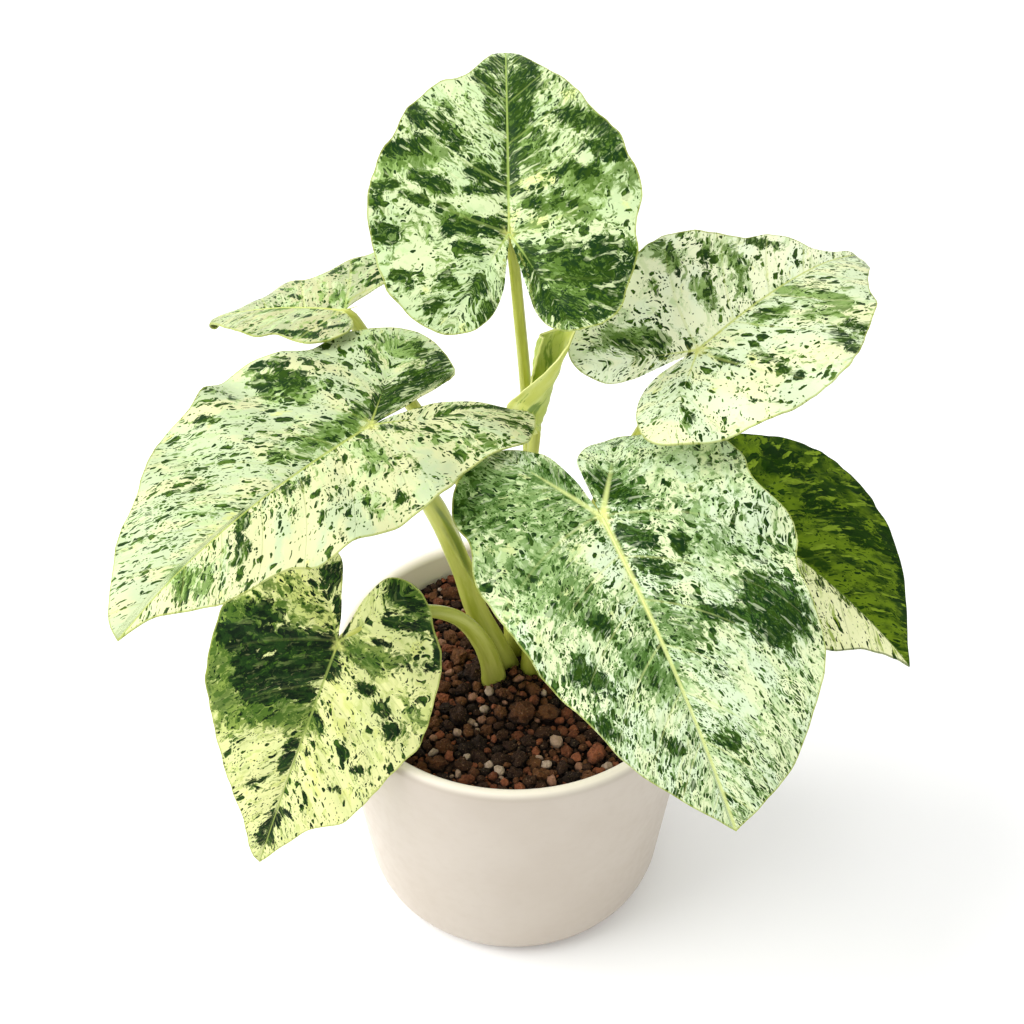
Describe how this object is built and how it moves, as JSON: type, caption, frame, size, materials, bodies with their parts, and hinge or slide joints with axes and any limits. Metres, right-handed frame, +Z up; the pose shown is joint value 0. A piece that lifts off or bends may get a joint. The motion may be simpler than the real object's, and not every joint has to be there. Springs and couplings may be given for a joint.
{
  "type": "potted variegated elephant ear plant",
  "caption": "Potted elephant ear plant: long fleshy stalks carry large arched heart-shaped leaves splashed cream and green, over a plain tapered ceramic pot of coarse mix.",
  "frame": {"origin": "centre of the pot's flat foot, on the surface that it stands on", "axes": "+Z up along the pot's axis; in the picture +X is to the right and -Y is towards the camera"},
  "size_m": [0.3083, 0.2518, 0.3667],
  "materials": {
    "pot_glaze": "satin",
    "potting_mix": "matte",
    "corm_skin": "matte",
    "stalk_green": "satin",
    "variegated_leaf": "satin",
    "furled_leaf_green": "satin"
  },
  "bodies": {
    "root": {"pot": "pot_glaze", "soil": "potting_mix", "corm": "corm_skin", "stalk_a": "stalk_green", "stalk_b": "stalk_green", "stalk_c": "stalk_green", "stalk_d": "stalk_green", "stalk_e": "stalk_green", "stalk_f": "stalk_green", "stalk_g": "stalk_green", "stalk_h": "stalk_green", "blade_a": "variegated_leaf", "blade_b": "variegated_leaf", "blade_c": "variegated_leaf", "blade_d": "variegated_leaf", "blade_e": "variegated_leaf", "blade_f": "variegated_leaf", "blade_g": "variegated_leaf", "blade_h_furled": "furled_leaf_green"}
  },
  "joints": []
}
